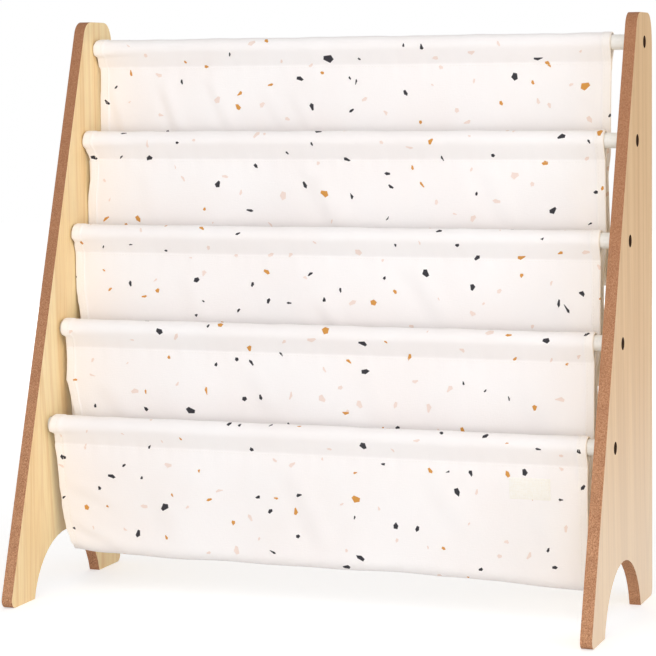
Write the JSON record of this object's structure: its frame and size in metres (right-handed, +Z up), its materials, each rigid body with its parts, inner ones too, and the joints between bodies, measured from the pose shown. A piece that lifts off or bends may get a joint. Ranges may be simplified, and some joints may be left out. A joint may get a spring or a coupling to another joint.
{
  "type": "sling bookshelf",
  "caption": "Child's sling bookshelf with tapered board sides, bolted round rods and a sewn cloth sling that hangs in stepped, front-facing book pockets.",
  "frame": {"origin": "on the floor, in the middle of the overall width and depth", "axes": "+X to the shelf's right as seen from the front, +Y towards its rear, +Z up"},
  "size_m": [0.628, 0.265, 0.61],
  "materials": {
    "laminated_board": "pale maple-look laminate faces on fibreboard, with bare brown fibreboard edges",
    "painted_rod": "satin white paint on turned wood",
    "sling_cotton": "plain-weave cotton canvas, off-white, with small scattered chips in charcoal, ochre and blush",
    "label_cloth": "bare woven cotton tape, cream",
    "bolt_metal": "dark zinc plate",
    "insert_metal": "plain zinc"
  },
  "bodies": {
    "root": {"side_panel_left": "laminated_board", "side_panel_right": "laminated_board", "rod_1": "painted_rod", "rod_2": "painted_rod", "rod_3": "painted_rod", "rod_4": "painted_rod", "rod_5": "painted_rod", "insert_left_1": "insert_metal", "insert_left_2": "insert_metal", "insert_left_3": "insert_metal", "insert_left_4": "insert_metal", "insert_left_5": "insert_metal", "bolt_left_1": "bolt_metal", "bolt_left_2": "bolt_metal", "bolt_left_3": "bolt_metal", "bolt_left_4": "bolt_metal", "bolt_left_5": "bolt_metal", "insert_right_1": "insert_metal", "insert_right_2": "insert_metal", "insert_right_3": "insert_metal", "insert_right_4": "insert_metal", "insert_right_5": "insert_metal", "bolt_right_1": "bolt_metal", "bolt_right_2": "bolt_metal", "bolt_right_3": "bolt_metal", "bolt_right_4": "bolt_metal", "bolt_right_5": "bolt_metal", "sling_sleeve_1": "sling_cotton", "sling_sleeve_2": "sling_cotton", "sling_sleeve_3": "sling_cotton", "sling_sleeve_4": "sling_cotton", "sling_sleeve_5": "sling_cotton", "sling_pocket_1": "sling_cotton", "sling_pocket_2": "sling_cotton", "sling_pocket_3": "sling_cotton", "sling_pocket_4": "sling_cotton", "sewn_label": "label_cloth"}
  },
  "joints": []
}
